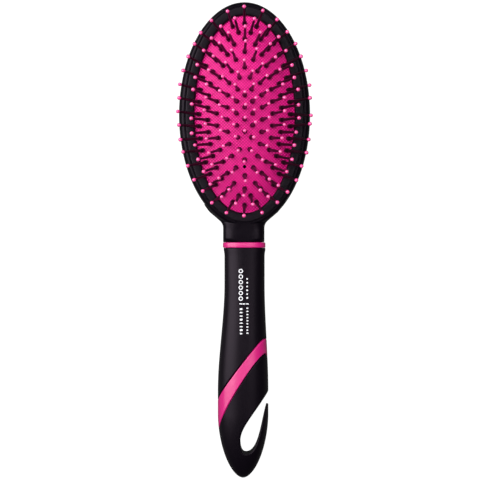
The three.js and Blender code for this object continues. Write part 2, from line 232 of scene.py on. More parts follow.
def build_grain_group():
    """Grain height, and roughness = base + patches: patches are a slow noise, centred on zero."""
    group, given, result = new_group(
        "moulded grain",
        [("Grain scale", 2500.0), ("Base roughness", 0.4), ("Patch amount", 0.1)],
        [("Height", "NodeSocketFloat"), ("Roughness", "NodeSocketFloat"), ("Patches", "NodeSocketFloat")],
    )
    place = group.nodes.new("ShaderNodeTexCoord").outputs["Object"]
    grain = noise(group, place, scale=given.outputs["Grain scale"], detail=3.0)
    patches = noise(group, place, scale=45.0, detail=4.0)
    centred = math_node(group, "SUBTRACT", patches, 0.5)
    shift = math_node(group, "MULTIPLY", centred, given.outputs["Patch amount"])
    rough = math_node(group, "ADD", given.outputs["Base roughness"], shift)
    group.links.new(grain, result.inputs["Height"])
    group.links.new(rough, result.inputs["Roughness"])
    group.links.new(patches, result.inputs["Patches"])
    return group


GRAIN = build_grain_group()
print("groups", [group.name for group in bpy.data.node_groups])

# %% [markdown]
# A moulded plastic is nearly one colour, so its shader stays simple: two close colours in soft patches, the
# roughness from the group, and a bump from the grain. The Principled shader stays in the material itself,
# where the amounts that don't change over the surface are set straight on its sockets.


# %% Material helpers
def new_material(name):
    """An empty material with a Principled shader; returns the material, its tree and the shader."""
    material = bpy.data.materials.new(name)
    material.use_nodes = True
    return material, material.node_tree, material.node_tree.nodes["Principled BSDF"]


def blend_colours(tree, factor, first, second):
    """A colour between two fixed colours, by a factor that changes over the surface."""
    node = tree.nodes.new("ShaderNodeMix")
    node.data_type = "RGBA"
    tree.links.new(factor, node.inputs["Factor"])
    for label, colour in (("A", first), ("B", second)):
        socket = [s for s in node.inputs if s.name == label and s.type == "RGBA"][0]
        socket.default_value = (*colour, 1.0)
    return [s for s in node.outputs if s.type == "RGBA"][0]


def bump(tree, height, strength, distance):
    """A bump node: strength is a share, distance is the depth of the relief in metres."""
    node = tree.nodes.new("ShaderNodeBump")
    node.inputs["Strength"].default_value = strength
    node.inputs["Distance"].default_value = distance
    tree.links.new(height, node.inputs["Height"])
    return node.outputs["Normal"]


GRAIN_DEPTH = 0.02 * MM


def plastic(name, dark, light, roughness, patch=0.1, grain_scale=2500.0):
    """A moulded plastic: two close colours in soft patches, with a fine grain."""
    material, tree, shader = new_material(name)
    grain = tree.nodes.new("ShaderNodeGroup")
    grain.node_tree = GRAIN
    grain.inputs["Grain scale"].default_value = grain_scale
    grain.inputs["Base roughness"].default_value = roughness
    grain.inputs["Patch amount"].default_value = patch
    colour = blend_colours(tree, grain.outputs["Patches"], dark, light)
    tree.links.new(colour, shader.inputs["Base Color"])
    tree.links.new(grain.outputs["Roughness"], shader.inputs["Roughness"])
    relief = bump(tree, grain.outputs["Height"], strength=0.5, distance=GRAIN_DEPTH)
    tree.links.new(relief, shader.inputs["Normal"])
    return material, shader


print("material helpers ready")

# %% [markdown]
# The shell and the frame are satin black, the grip has a matt soft-touch skin, and the collar and the
# stripe are satin pink. The pins are black nylon with glossy drops of pink resin, and the print is silver
# foil. A black surface shows hardly any colour of its own, so what counts is how strongly it reflects: that
# is the level set for each of them below. A clear coat on the drops gives the small bright point that each
# of them shows.

# %% Finishes of the hard pieces
BLACK_DARK, BLACK_LIGHT = (0.0012, 0.0007, 0.0017), (0.0024, 0.0015, 0.0031)
PINK_DARK, PINK_LIGHT = (0.45, 0.007, 0.13), (0.50, 0.012, 0.155)
PIN_DARK, PIN_LIGHT = (0.0045, 0.0022, 0.0035), (0.007, 0.004, 0.006)
DROP_DARK, DROP_LIGHT = (0.82, 0.05, 0.27), (0.88, 0.09, 0.33)
FOIL_DARK, FOIL_LIGHT = (0.62, 0.62, 0.66), (0.86, 0.86, 0.88)
BLACK_TINT = (1.0, 0.82, 1.0, 1.0)

shell_black, shell_shader = plastic("shell_black", BLACK_DARK, BLACK_LIGHT, roughness=0.33)
frame_black, frame_shader = plastic("frame_black", BLACK_DARK, BLACK_LIGHT, roughness=0.45)
grip_black, grip_shader = plastic(
    "grip_soft_touch", BLACK_DARK, BLACK_LIGHT, roughness=0.4, patch=0.08, grain_scale=4000.0
)
collar_pink, collar_shader = plastic("collar_pink", PINK_DARK, PINK_LIGHT, roughness=0.32, patch=0.06)
stripe_pink, stripe_shader = plastic("stripe_pink", PINK_DARK, PINK_LIGHT, roughness=0.3, patch=0.06)
pin_black, pin_shader = plastic("pin_nylon", PIN_DARK, PIN_LIGHT, roughness=0.35, patch=0.06)
drop_pink, drop_shader = plastic("pin_drop_pink", DROP_DARK, DROP_LIGHT, roughness=0.18, patch=0.05)
silver_foil, foil_shader = plastic("silver_foil", FOIL_DARK, FOIL_LIGHT, roughness=0.35)

for shader, level in ((shell_shader, 0.17), (frame_shader, 0.33), (grip_shader, 0.24)):
    shader.inputs["Specular IOR Level"].default_value = level
    shader.inputs["Specular Tint"].default_value = BLACK_TINT
for shader in (collar_shader, stripe_shader):
    shader.inputs["Specular IOR Level"].default_value = 0.8
pin_shader.inputs["Specular IOR Level"].default_value = 0.25
drop_shader.inputs["Specular IOR Level"].default_value = 1.0
drop_shader.inputs["Coat Weight"].default_value = 1.0
drop_shader.inputs["Coat IOR"].default_value = 2.0
drop_shader.inputs["Coat Roughness"].default_value = 0.08
foil_shader.inputs["Metallic"].default_value = 0.35
print("finishes", [material.name for material in bpy.data.materials])

# %% [markdown]
# ## The woven cushion
# The rubber dome has a woven face: two families of threads cross at right angles, set diagonally to the
# brush. Real threads would be far too many to model, so the weave is a pattern in the shader. Each family
# is a sine wave across its threads without its sign, so it is 1 on the crown of a thread and 0 in the gap
# beside it. The product of both leaves a bright spot on every crossing and dark lines along both diagonals.
# The threads waver a little, as woven ones do, because a slow noise shifts the waves. The colour follows the
# same height: painted shade darkens the gaps between the threads, and painted light brightens the thread
# tops.

# %% Weave material
THREAD = 1.1 * MM
THREAD_WAVER = 0.7 * MM
THREAD_RELIEF = 0.2 * MM
# the gap colour is painted shade between the threads, and the crown colour is painted light on their tops
GAP_SHADE_MAGENTA, CROWN_HIGHLIGHT_MAGENTA = (0.33, 0.0006, 0.06), (1.0, 0.018, 0.36)


def build_weave_group():
    """Height of the cloth: |sin(pi u / pitch)| x |sin(pi v / pitch)|, with u and v along the diagonals."""
    group, given, result = new_group(
        "diagonal weave",
        [("Thread pitch", THREAD)],
        [("Height", "NodeSocketFloat"), ("Wear", "NodeSocketFloat")],
    )
    place = group.nodes.new("ShaderNodeTexCoord").outputs["Object"]
    parts = group.nodes.new("ShaderNodeSeparateXYZ")
    group.links.new(place, parts.inputs[0])
    slow = math_node(group, "SUBTRACT", noise(group, place, scale=250.0), 0.5)
    waver = math_node(group, "MULTIPLY", slow, THREAD_WAVER)
    turn = math_node(group, "DIVIDE", math.pi / math.sqrt(2), given.outputs["Thread pitch"])
    families = []
    for operation in ("ADD", "SUBTRACT"):
        diagonal = math_node(group, operation, parts.outputs["X"], parts.outputs["Y"])
        phase = math_node(group, "MULTIPLY", math_node(group, "ADD", diagonal, waver), turn)
        wave = math_node(group, "SINE", phase, 0.0)
        families.append(math_node(group, "ABSOLUTE", wave, 0.0))
    group.links.new(math_node(group, "MULTIPLY", *families), result.inputs["Height"])
    group.links.new(noise(group, place, scale=60.0, detail=4.0), result.inputs["Wear"])
    return group


def weave_material():
    """Magenta cloth-faced rubber: painted light on the thread tops, painted shade in the gaps, and slow
    changes in gloss.
    """
    material, tree, shader = new_material("woven_magenta")
    weave = tree.nodes.new("ShaderNodeGroup")
    weave.node_tree = build_weave_group()
    weave.inputs["Thread pitch"].default_value = THREAD
    # the weave's height is the mask of the painted light and shade: dark in the gaps, light on the thread
    # tops
    weave_light_and_shade = blend_colours(tree, weave.outputs["Height"], GAP_SHADE_MAGENTA, CROWN_HIGHLIGHT_MAGENTA)
    tree.links.new(weave_light_and_shade, shader.inputs["Base Color"])
    smoothest, worn = 0.42, 0.16
    rough = math_node(tree, "ADD", smoothest, math_node(tree, "MULTIPLY", weave.outputs["Wear"], worn))
    tree.links.new(rough, shader.inputs["Roughness"])
    relief = bump(tree, weave.outputs["Height"], strength=0.7, distance=THREAD_RELIEF)
    tree.links.new(relief, shader.inputs["Normal"])
    shader.inputs["Specular IOR Level"].default_value = 0.35
    return material


woven_magenta = weave_material()
print("weave pitch in mm", THREAD / MM)

# %% [markdown]
# ## The dome and where the pins stand
# The cushion is blown up like a shallow hill with a flat top: its height falls slowly at first, then
# faster. Each pin stands square to that hill, which is why the outer pins lean outwards. A formula for the
# hill is better here than a sculpted mesh, because the pins, their collars and the dimples all need the
# same surface.

# %% Dome formulas
AROUND = 192


def oval_ring(half_width, half_length, z, around=AROUND):
    """Points of an oval about the middle of the head, at one height."""
    angle = np.linspace(0, 2 * np.pi, around, endpoint=False)
    x = half_width * np.cos(angle)
    y = HEAD_CENTRE + half_length * np.sin(angle)
    return np.stack([x, y, np.full_like(x, z)], axis=-1)


def way_out(x, y):
    """Share of the way from the middle of the head to the edge of the cushion."""
    return np.hypot(x / PAD_HALF_WIDTH, y / PAD_HALF_LENGTH)


def dome_rise(x, y):
    """Height of the dome above its edge: dome height x (1 - share of the way out ^ flatness)."""
    return DOME_HEIGHT * (1 - way_out(x, y) ** DOME_FLATNESS)


def dome_normal(x, y):
    """Unit vectors straight out of the dome."""
    slope = DOME_FLATNESS * DOME_HEIGHT * way_out(x, y) ** (DOME_FLATNESS - 2)
    slope_x = slope * x / PAD_HALF_WIDTH**2
    slope_y = slope * y / PAD_HALF_LENGTH**2
    normal = np.stack([slope_x, slope_y, np.ones_like(slope_x)], axis=-1)
    return normal / np.linalg.norm(normal, axis=-1, keepdims=True)


def dome_point(x, y, depth=0.0):
    """Points on the dome, or a given depth below its face."""
    x, y = np.asarray(x, float), np.asarray(y, float)
    face = np.stack([x, y + HEAD_CENTRE, PAD_EDGE + dome_rise(x, y)], axis=-1)
    return face - dome_normal(x, y) * depth


print("dome top", PAD_EDGE + DOME_HEIGHT)

# %% [markdown]
# The rows are ovals between an inner one and an edge one, with a short straight row in the middle. The pins
# keep an even step along each oval, measured along its length, and the second row starts half a step later.
# An array modifier on a curve would do it too, but here each pin also has to know the strip of the CAD
# model that it belongs to, because the strips move with different bodies when the cushion is pressed.

# %% Places of the pins
PIN_PITCH = 6.05
INNER_ROW = (4.0, 23.0)
EDGE_ROW_INSET = (2.2, 3.9)
EDGE_ROW = (PAD_HALF_WIDTH - EDGE_ROW_INSET[0], PAD_HALF_LENGTH - EDGE_ROW_INSET[1])
# share of the way out across, share of the way out along, and the first pin's place in steps
ROWS = {
    "row1": (1.0, 1.0, 0.0),
    "row2": (0.765, 0.813, 0.5),
    "row3": (0.526, 0.64, 0.0),
    "row4": (0.253, 0.348, 0.0),
    "row5": (0.0, 0.0, 0.0),
}
CENTRE_ROW_PINS = 4
CHORDS = 8000


def places_on_oval(share_across, share_along, phase):
    """x, y and turn of pins at equal steps along an oval, from the tip of the head towards +X.

    The length along the oval is the running sum of short chords, and a place is looked up in that sum."""
    half_width = INNER_ROW[0] + (EDGE_ROW[0] - INNER_ROW[0]) * share_across
    half_length = INNER_ROW[1] + (EDGE_ROW[1] - INNER_ROW[1]) * share_along
    angle = np.linspace(0, 2 * np.pi, CHORDS + 1)
    x, y = half_width * np.sin(angle), half_length * np.cos(angle)
    along = np.concatenate([[0], np.cumsum(np.hypot(np.diff(x), np.diff(y)))])
    count = 2 * round(along[-1] / PIN_PITCH / 2)
    turn = (np.arange(count) + phase) / count
    return np.interp(turn * along[-1], along, x), np.interp(turn * along[-1], along, y), turn


def quarter_of(turn):
    """The quarter of an oval that a pin belongs to; a border goes with the long sides."""
    hair = 1e-6
    border = 1 / 8 - hair
    if turn < border or turn > 1 - border:
        return "tip"
    if abs(turn - 0.5) < border:
        return "neck"
    return "right" if turn < 0.5 else "left"


strips = {}
for row, (across, along, phase) in ROWS.items():
    for x, y, turn in zip(*places_on_oval(across, along, phase)):
        strips.setdefault(f"{row}_{quarter_of(turn)}_pins", []).append((x, y))
middle = (np.arange(CENTRE_ROW_PINS) - (CENTRE_ROW_PINS - 1) / 2) * PIN_PITCH
strips["row6_centre_pins"] = [(0.0, y) for y in middle]
all_pins = np.array([place for places in strips.values() for place in places])
print("strips", len(strips), "pins", len(all_pins))

# %% [markdown]
# ## The cushion
# A grid of ovals covers the face, runs over the flange that the frame clamps, and comes back underneath, so
# the rubber is one closed skin. Where a pin passes through, the cloth is pulled in a little: each pin
# subtracts a small bell curve from the height, which catches the light as a soft dimple. A cloth simulation
# could blow the skin up, but the pins are set out on the formula, and the skin has to meet every one of
# them.

# %% Build the cushion
FACE_RINGS = 120
# the underside has no dimples, so every sixth ring is enough for it
UNDERSIDE_STEP = 6
INNERMOST_SHARE = 0.02
FLANGE_CLEARANCE = 0.15
DIMPLE_DEPTH = 0.35
DIMPLE_RADIUS = 1.5


def dimples(x, y):
    """Sum of bell curves at the pins: depth x exp(-(distance / radius)^2)."""
    gap_x = x[..., None] - all_pins[:, 0]
    gap_y = y[..., None] - all_pins[:, 1]
    return DIMPLE_DEPTH * np.exp(-(gap_x**2 + gap_y**2) / DIMPLE_RADIUS**2).sum(axis=-1)


def dome_rings(shares, depth, with_dimples):
    """Rings of the dome from the edge inwards: each is the edge oval times a share, lifted to the dome."""
    angle = np.linspace(0, 2 * np.pi, AROUND, endpoint=False)
    x = PAD_HALF_WIDTH * np.outer(shares, np.cos(angle))
    y = PAD_HALF_LENGTH * np.outer(shares, np.sin(angle))
    rings = dome_point(x, y, depth)
    if with_dimples:
        rings = rings - dome_normal(x, y) * dimples(x, y)[..., None]
    return rings


def build_cushion():
    """The closed rubber skin, from the middle of its underside to the middle of its face."""
    shares = np.linspace(1, INNERMOST_SHARE, FACE_RINGS)
    out = FLANGE_WIDTH - FLANGE_CLEARANCE
    flange_bottom = PAD_EDGE - FLANGE_THICKNESS
    flange = [
        oval_ring(PAD_HALF_WIDTH + out, PAD_HALF_LENGTH + out, flange_bottom),
        oval_ring(PAD_HALF_WIDTH + out, PAD_HALF_LENGTH + out, PAD_EDGE),
    ]
    under = dome_rings(shares[::UNDERSIDE_STEP][::-1], PAD_THICKNESS, with_dimples=False)
    face = dome_rings(shares, 0.0, with_dimples=True)
    return revolved("cushion", np.concatenate([under, flange, face]), "fans", sharp_degrees=60)


VENT_RADIUS = 0.9
VENT_FROM_CENTRE = 26.5
VENT_SIDES = 24
DRILL_REACH = 4.0


def drill_vent(cushion):
    """The hole that lets the cushion breathe: a round drill is taken away from the skin."""
    angle = np.linspace(0, 2 * np.pi, VENT_SIDES, endpoint=False)
    place_x, place_y, place_z = dome_point(0.0, -VENT_FROM_CENTRE)
    x, y = place_x + VENT_RADIUS * np.cos(angle), place_y + VENT_RADIUS * np.sin(angle)
    ends = (place_z - DRILL_REACH, place_z + DRILL_REACH)
    rings = [np.stack([x, y, np.full_like(x, z)], axis=-1) for z in ends]
    drill = revolved("vent_drill", rings)
    return cut_or_join(cushion, drill, "DIFFERENCE", sharp_degrees=60)


cushion = drill_vent(build_cushion())
cushion.data.materials.append(woven_magenta)
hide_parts("cushion_pad")
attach(cushion, "handle_and_head")
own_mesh(cushion)

# %% [markdown]
# ## The pins
# A pin is turned on a lathe profile: a wide collar at its root, a slim tapering shaft and a drop of soft
# resin at the tip. Copies of one pin would do, but real pins lean a little this way and that, and no two
# drops are quite alike. So the profile is carried to every place at once: ring radius times a circle in the
# plane across the pin, plus height times the pin's direction. Shafts and drops are separate pieces, because
# they are two materials, and both ride on the body that their strip belongs to.

# %% The lathe profiles
PIN_LENGTH = 19.5
DROP_RADIUS = 0.95
DROP_STRETCH = 1.35
DROP_FROM, DROP_TO, DROP_RINGS = math.radians(24), math.radians(172), 9
SHAFT_IN_DROP = 1.6
# (height above the skin, radius)
SHAFT_PROFILE = np.array([
    (-1.0, 1.0), (0.0, 1.12), (0.15, 1.2), (2.0, 1.14), (2.35, 1.02), (2.6, 0.84), (3.4, 0.78), (9.0, 0.7),
    (PIN_LENGTH - SHAFT_IN_DROP, 0.57),
])


def drop_profile():
    """Height and radius along a drop of resin: a sphere drawn out a little towards the shaft."""
    angle = np.linspace(DROP_FROM, DROP_TO, DROP_RINGS)
    stretch = np.where(angle < math.pi / 2, DROP_STRETCH, 1.0)
    height = PIN_LENGTH - DROP_RADIUS - DROP_RADIUS * stretch * np.cos(angle)
    return np.stack([height, DROP_RADIUS * np.sin(angle)], axis=-1)


print("profile points", len(SHAFT_PROFILE), len(drop_profile()))

# %% [markdown]
# Each pin gets three directions of its own: one along it and two across it. With them, one line of arithmetic
# on whole arrays places the profile on every pin of a strip. The lean comes from a random generator that is
# seeded by the strip's name, so a shaft and its drop always agree.

# %% Build the pins
PIN_SIDES = 12
LEAN = math.radians(1.1)
DROP_GROWTH = 0.035


def pin_frames(strip):
    """Foot, direction, two side vectors and drop size of each pin of a strip.

    The direction is square to the dome, plus a small random lean."""
    places = np.array(strips[strip])
    random = np.random.default_rng(sum(map(ord, strip)))
    foot = dome_point(places[:, 0], places[:, 1])
    up = dome_normal(places[:, 0], places[:, 1])
    up[:, :2] += random.normal(0, LEAN, (len(places), 2))
    up /= np.linalg.norm(up, axis=-1, keepdims=True)
    side = np.cross(up, [0.0, 1.0, 0.0])
    side /= np.linalg.norm(side, axis=-1, keepdims=True)
    growth = 1 + random.normal(0, DROP_GROWTH, len(places))
    return foot, up, side, np.cross(up, side), growth


def lathe_on_pins(name, strip, profile, own_sizes=False):
    """The profile of (height, radius) turned about every pin of a strip, as one mesh of closed bodies.

    A point is foot + height x up + radius x (side x cos + front x sin)."""
    foot, up, side, front, growth = pin_frames(strip)
    growth = growth if own_sizes else np.ones(len(foot))
    angle = np.linspace(0, 2 * np.pi, PIN_SIDES, endpoint=False)
    circle = side[:, None] * np.cos(angle)[:, None] + front[:, None] * np.sin(angle)[:, None]
    heights = foot[:, None] + up[:, None] * profile[:, 0][:, None]
    radii = profile[:, 1][:, None, None] * growth[:, None, None, None]
    rings = heights[:, :, None] + circle[:, None] * radii
    ends = heights[:, [0, -1]]
    pins, levels = rings.shape[:2]
    size = levels * PIN_SIDES
    around = np.arange(PIN_SIDES)
    after = np.roll(around, -1)
    top = size - PIN_SIDES
    low_cap = np.stack([after, around, np.full_like(around, size)], axis=-1)
    high_cap = np.stack([top + around, top + after, np.full_like(around, size + 1)], axis=-1)
    one_pin = [*grid_faces(levels, PIN_SIDES), *low_cap, *high_cap]
    points = np.concatenate([rings.reshape(pins, -1, 3), ends], axis=1).reshape(-1, 3)
    faces = [face + pin * (size + 2) for pin in range(pins) for face in one_pin]
    return add_object(name, mesh_from(name, points, faces, sharp_degrees=50))


bodies = frame["record"]["behaviour"]["bodies"]
body_of_node = {node: body for body, nodes in bodies.items() for node in nodes}
for strip in strips:
    body = body_of_node[strip]
    shafts = lathe_on_pins(strip.replace("_pins", "_shafts"), strip, SHAFT_PROFILE)
    shafts.data.materials.append(pin_black)
    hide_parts(strip)
    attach(shafts, body)
    drops = lathe_on_pins(strip.replace("_pins", "_drops"), strip, drop_profile(), own_sizes=True)
    drops.data.materials.append(drop_pink)
    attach(drops, body)
print("pin pieces", 2 * len(strips))

# %% [markdown]
# ## Sections between round and square
# The neck and the handle are neither round nor square: their sides are a little flat, and their corners
# soft. Such a section is a superellipse, a circle whose sine and cosine are raised to a power. A bevelled
# box could come close, but one number that sets the squareness can also change along the piece.

# %% Section formulas
SECTION_POINTS = 144
SQUARENESS = 2.3


def bent(value, squareness=SQUARENESS):
    """A sine or cosine, flattened: sign x |value| ^ (2 / squareness)."""
    return np.sign(value) * np.abs(value) ** (2 / squareness)


def section(y, centre_x, centre_z, half_width, half_height, squareness=SQUARENESS):
    """A flat-sided round section across the Y axis, one ring of points for each y."""
    angle = np.linspace(0, 2 * np.pi, SECTION_POINTS, endpoint=False)
    sizes = (y, centre_x, centre_z, half_width, half_height, squareness)
    columns = np.broadcast_arrays(*(np.atleast_1d(np.asarray(size, float)) for size in sizes))
    y, centre_x, centre_z, half_width, half_height, squareness = (column[:, None] for column in columns)
    x = centre_x + half_width * bent(np.cos(angle), squareness)
    z = centre_z + half_height * bent(np.sin(angle), squareness)
    return np.stack([x, np.broadcast_to(y, x.shape), z], axis=-1)


def ease(start, end, y):
    """A smooth step from 0 to 1: 3 t^2 - 2 t^3, where t is the share of the way from start to end."""
    t = np.clip((np.asarray(y, float) - start) / (end - start), 0, 1)
    return t * t * (3 - 2 * t)


def rounded_end(radius, depth):
    """(offset along the piece, inset) from a depth inside up a flat end and round a quarter circle."""
    corner = np.linspace(0, np.pi / 2, 6)[::-1]
    return [(0.0, depth)] + [(radius * (1 - math.sin(a)), radius * (1 - math.cos(a))) for a in corner]


print("squareness", SQUARENESS)

# %% [markdown]
# ## The head
# The real paddle is one moulding. One profile makes it: from the flat land on the back, round the belt,
# over the rim and down the steps that seat the frame and the cushion, to the floor of the air chamber. Each
# point of the profile becomes an oval, so the paddle is a lathe turning that has been drawn out along the
# brush. Spinning a profile would give a round dish, and scaling that would stretch its wall and its rim as
# well.

# %% The profile of the paddle
LAND_HALF = (14.0, 36.0)
BELT = 9.5
RIM = 13.4
RIM_CORNER = 0.1
RIM_TOP_WIDTH = 0.9
RIM_FALL = (
    HEAD_HALF_WIDTH - FRAME_HALF_WIDTH - RIM_TOP_WIDTH,
    HEAD_HALF_LENGTH - FRAME_HALF_LENGTH - RIM_TOP_WIDTH,
)
GAP = 0.3
FRAME_SEAT, FLANGE_SEAT, CHAMBER_FLOOR = 11.3, 10.3, 5.0
# how far inwards from the frame's opening each seat ends
FRAME_LEDGE, FLANGE_LEDGE = 2.3, 5.0
FLOOR_MIDDLE = (0.1, 0.2)
BACK_RINGS, RIM_RINGS = 30, 14


def head_profile():
    """Half width, half length and height of each ring of the paddle.

    A quarter ellipse from land to belt, another from belt to rim, then the steps of the seats."""
    profile = []
    for angle in np.linspace(0, np.pi / 2, BACK_RINGS):
        grown = math.sin(angle)
        half_width = LAND_HALF[0] + (HEAD_HALF_WIDTH - LAND_HALF[0]) * grown
        half_length = LAND_HALF[1] + (HEAD_HALF_LENGTH - LAND_HALF[1]) * grown
        profile.append((half_width, half_length, BELT * (1 - math.cos(angle))))
    for angle in np.linspace(0, np.pi / 2, RIM_RINGS)[1:]:
        fall = 1 - math.cos(angle)
        half_width = HEAD_HALF_WIDTH - RIM_FALL[0] * fall
        half_length = HEAD_HALF_LENGTH - RIM_FALL[1] * fall
        profile.append((half_width, half_length, BELT + (RIM - BELT) * math.sin(angle)))
    seats = [
        (0, RIM - RIM_CORNER), (0, FRAME_SEAT), (FRAME_LEDGE, FRAME_SEAT),
        (FRAME_LEDGE, FLANGE_SEAT), (FLANGE_LEDGE, FLANGE_SEAT), (FLANGE_LEDGE, CHAMBER_FLOOR),
    ]
    for inwards, height in seats:
        profile.append((FRAME_HALF_WIDTH + GAP - inwards, FRAME_HALF_LENGTH + GAP - inwards, height))
    profile.append((*FLOOR_MIDDLE, CHAMBER_FLOOR))
    return profile


print("rings of the paddle", len(head_profile()))

# %% [markdown]
# The neck grows out of the paddle with a fillet on both sides. It is a loft: for each y, a superellipse
# whose width, top and underside follow formulas. Where it widens it stays close to the oval of the head,
# and its underside rises towards the belt, or it would stick out below the paddle like a fin. A boolean
# joins the two, because a bridge between a loft and an oval would need its own hand-made topology. Below
# its end the neck goes on as the thinner core that the collar and the grip sit on.

# %% Build the head
NECK_TOP, NECK_UNDERSIDE = 14.6, 2.0
NECK_HALF_WIDTH, NECK_SHIFT = 10.45, -0.4
NECK_SQUARENESS = 3.6
NECK_EDGE = 0.5
CORE_INSET, CORE_LENGTH = 1.4, 7.0
FILLET, FILLET_SHARE = 5.0, 0.76
FILLET_START = HEAD_CENTRE - HEAD_HALF_LENGTH - 0.4
NECK_ROOT = FILLET_START + 12.0
FLARE_FROM, FLARE_PROUD = FILLET_START + 4.1, 1.2
RISE_FROM, ROOT_BELOW_BELT = FILLET_START + 3.0, 1.0
# (depth, from y, to y): the top sinks below the rim, then below the seats
TOP_SINKS = ((1.7, 2.0, 12.0), (3.0, 11.0, 14.0))
# the section turns squarer within this length of the collar, and is rounder again between these two y
SQUARE_WITHIN, ROUND_AGAIN = 2.0, (5.0, 10.0)
ROOT_RINGS, NECK_RINGS = 50, 14
RING_STEP = 0.3


def neck_half_width(y):
    """The neck's half width: an arc, then a slope, held near the oval of the head until it sinks into it.

    The arc is r - sqrt(r^2 - reach^2), and it ends where reach is the fillet's share of r."""
    reach = y - FILLET_START
    rounded = np.clip(reach, 0, FILLET_SHARE * FILLET)
    slope = FILLET_SHARE / math.sqrt(1 - FILLET_SHARE**2)
    flared = NECK_HALF_WIDTH + FILLET - np.sqrt(FILLET**2 - rounded**2) + slope * (reach - rounded).clip(0)
    paddle = HEAD_HALF_WIDTH * np.sqrt(1 - np.clip((y - HEAD_CENTRE) / HEAD_HALF_LENGTH, -1, 1) ** 2)
    proud = FLARE_PROUD * (1 - (y - FLARE_FROM) / (NECK_ROOT - FLARE_FROM))
    return np.where(y > FLARE_FROM, np.minimum(flared, paddle + proud), flared)


def build_head():
    """The paddle and the neck as one shell, with the thinner core that the collar and the grip sit on."""
    paddle = revolved("head_paddle", [oval_ring(*ring) for ring in head_profile()])
    end_offset, end_inset = np.array(rounded_end(NECK_EDGE, CORE_INSET)[::-1]).T
    y = np.concatenate([
        np.linspace(NECK_ROOT, FILLET_START, ROOT_RINGS),
        np.linspace(FILLET_START - RING_STEP, NECK_END + NECK_EDGE, NECK_RINGS),
        NECK_END + end_offset,
        [NECK_END - CORE_LENGTH],
    ])
    inset = np.concatenate([np.zeros(ROOT_RINGS + NECK_RINGS), end_inset, [CORE_INSET]])
    top = np.full_like(y, NECK_TOP)
    for depth, start, end in TOP_SINKS:
        top = top - depth * ease(start, end, y)
    rise = BELT - ROOT_BELOW_BELT - NECK_UNDERSIDE
    underside = NECK_UNDERSIDE + rise * ease(RISE_FROM, NECK_ROOT, y)
    middle = (top + underside) / 2
    half_height = (top - underside) / 2 - inset
    squarer = ease(NECK_END, NECK_END + SQUARE_WITHIN, y) * (1 - ease(*ROUND_AGAIN, y))
    squareness = SQUARENESS + (NECK_SQUARENESS - SQUARENESS) * squarer
    half_width = neck_half_width(y) - inset
    neck = revolved("neck", section(y, NECK_SHIFT, middle, half_width, half_height, squareness))
    return cut_or_join(paddle, neck, "UNION", sharp_degrees=35)


head = build_head()
head.name = "head_back_shell"
head.data.materials.append(shell_black)
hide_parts("head_shell")
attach(head, "handle_and_head")
print("head vertices", len(head.data.vertices))

# %% [markdown]
# ## The frame ring
# A ring of its own clamps the flange of the cushion in the paddle. It is a closed profile carried round the
# oval: a rounded outer shoulder, a crown, and a slope that dips towards the cushion. A bevelled curve would
# do the same, but each point of a profile on an oval moves straight inwards, which keeps the ring's width
# even.

# %% Build the frame ring
SNUG = 0.17
SHOULDER = 0.5
RING_FOOT, LEDGE = 11.7, 12.3
CROWN_START = (2.0, FRAME_TOP - 0.02)
CROWN_CENTRE, CROWN_RADIUS = (3.0, FRAME_TOP - 1.6), 1.55
LIP_RADIUS = 0.35


def arc(centre, radius, start, end, steps=6):
    """Points (inwards, height) on an arc: centre + radius x (cos, sin), angles in degrees."""
    angle = np.radians(np.linspace(start, end, steps))
    return [(centre[0] + radius * math.cos(a), centre[1] + radius * math.sin(a)) for a in angle]


def frame_profile():
    """(inwards, height) points of the ring's closed section, from its foot over the crown to the ledge."""
    lip = FRAME_WIDTH - GAP
    flange_edge = FRAME_WIDTH - FLANGE_WIDTH - GAP
    profile = [(-SNUG, RING_FOOT)]
    profile += arc((SHOULDER - SNUG, FRAME_TOP - SHOULDER), SHOULDER, 180, 90)
    profile += [CROWN_START]
    profile += arc(CROWN_CENTRE, CROWN_RADIUS, 80, 30, steps=5)
    profile += arc((lip - LIP_RADIUS, LEDGE + LIP_RADIUS), LIP_RADIUS, 30, -90)
    profile += [(flange_edge, LEDGE), (flange_edge, RING_FOOT)]
    return profile


frame_rings = [
    oval_ring(FRAME_HALF_WIDTH - inwards, FRAME_HALF_LENGTH - inwards, z) for inwards, z in frame_profile()
]
cushion_frame = revolved("cushion_frame_ring", frame_rings, "loop")
cushion_frame.data.materials.append(frame_black)
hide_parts("cushion_frame")
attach(cushion_frame, "handle_and_head")
print("frame ring vertices", len(cushion_frame.data.vertices))

# %% [markdown]
# ## The handle
# All the handle's pieces follow one outer surface: a section whose width, height and middle change smoothly
# along Y. Each piece is a sleeve of that surface between two edges. An edge may be square or oblique: for
# an oblique one, y is found for every point round the section by a few rounds of substitution, because the
# place of the surface depends on y itself. Cutting one solid with planes would give the same outline, but a
# sleeve brings its own rounded edges, which turn in to form the dark grooves between the pieces.

# %% The handle's outer surface
BELLY = {"width": 25.5, "shift": -0.75, "top": -76.0, "round": -88.0, "height": 19.0}
GRIP_WIDTH, TAPER_START = 20.3, -22.0
FLARE, FLARE_LENGTH = 0.45, 4.0
TAIL_POINTINESS = 1.8
STRIPE_MIDDLE = BELLY["height"] / 2
# the plane of an edge: (y in the middle, slope across, slope upwards)
EDGE_UPPER = (-64.1, 1.25, 0.4)
EDGE_LOWER = (-75.9, 1.51, 0.75)
EDGE_ROUNDS = 30
GROOVE = 0.6
THINNEST = 0.02
around_angle = np.linspace(0, 2 * np.pi, SECTION_POINTS, endpoint=False)


